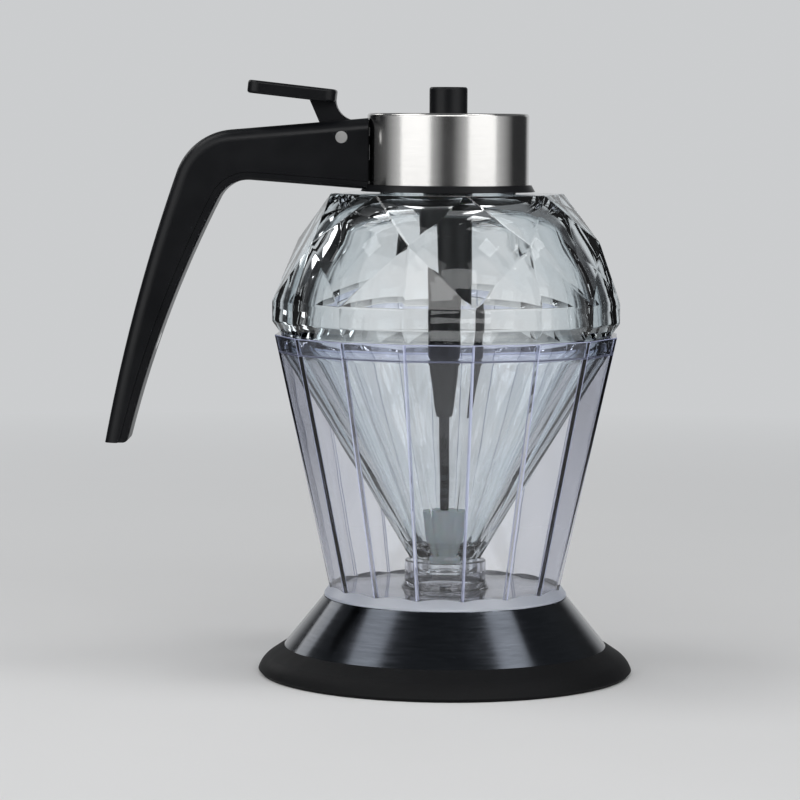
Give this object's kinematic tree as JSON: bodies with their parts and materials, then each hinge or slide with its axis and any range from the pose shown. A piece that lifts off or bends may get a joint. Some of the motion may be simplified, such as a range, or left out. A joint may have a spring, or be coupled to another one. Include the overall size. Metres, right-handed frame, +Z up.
{
  "type": "oil dispenser bottle",
  "caption": "Cut glass dispenser bottle with a trigger handle, thumb lever and plunger, standing in a clear faceted cup on a black base.",
  "frame": {"origin": "centre of the rubber foot's flat underside", "axes": "+Z up along the bottle; the handle points to -X; the picture is taken looking along +Y"},
  "size_m": [0.1339, 0.095, 0.1499],
  "materials": {
    "black_rubber": "matte",
    "black_coated_steel": "glossy, brushed round the cone",
    "black_plastic": "satin",
    "steel_hardware": "plain",
    "clear_acrylic": "clear, faintly lavender at the edges",
    "cut_glass": "clear, polished facets",
    "silicone_seal": "soft, translucent",
    "brushed_steel_cap": "brushed round the cap",
    "white_plastic": "plain",
    "blue_plastic": "translucent"
  },
  "bodies": {
    "stand": {"rubber_foot": "black_rubber", "base_cone": "black_coated_steel", "base_plate": "black_plastic", "base_washer": "steel_hardware", "base_screw": "steel_hardware", "stand_cup": "clear_acrylic"},
    "bottle": {"glass_bottle": "cut_glass"},
    "gasket": {"lid_gasket": "silicone_seal"},
    "lid": {"lid_core": "black_plastic", "guide_tube": "black_plastic", "lid_cap": "brushed_steel_cap", "handle_shell": "black_plastic", "handle_cover": "black_plastic", "handle_screws": "steel_hardware", "pivot_pin": "steel_hardware", "rod_bush": "white_plastic", "return_spring": "steel_hardware"},
    "lever": {"thumb_lever": "black_plastic"},
    "plunger": {"plunger_rod": "black_plastic", "knob": "black_plastic", "spring_clip": "steel_hardware", "plug_core": "blue_plastic", "silicone_plug": "silicone_seal"}
  },
  "joints": [
    {"name": "bottle_lift", "type": "slide", "parent": "stand", "child": "bottle", "axis": [0, 0, 1], "range_m": [0, 0.08]},
    {"name": "gasket_rise", "type": "slide", "parent": "bottle", "child": "gasket", "axis": [0, 0, 1], "range_m": [0, 0.00298]},
    {"name": "lid_unscrew", "type": "hinge", "parent": "gasket", "child": "lid", "pos_m": [0, 0, 0.125], "axis": [0, 0, 1], "range_deg": [0, 360]},
    {"name": "lever_press", "type": "hinge", "parent": "lid", "child": "lever", "pos_m": [-0.0267, 0, 0.13575], "axis": [0, -1, 0], "range_deg": [0, 12]},
    {"name": "plunger_lift", "type": "slide", "parent": "lid", "child": "plunger", "axis": [0, 0, 1], "range_m": [0, 0.0055], "stiffness_N_per_m": 60, "springref_m": -0.005, "deforming": ["return_spring"]}
  ],
  "couplings": [
    {"joint": "lid_unscrew", "follows": "gasket_rise", "rad_per_m": 2094.4},
    {"joint": "lever_press", "follows": "plunger_lift", "rad_per_m": 37.453}
  ]
}
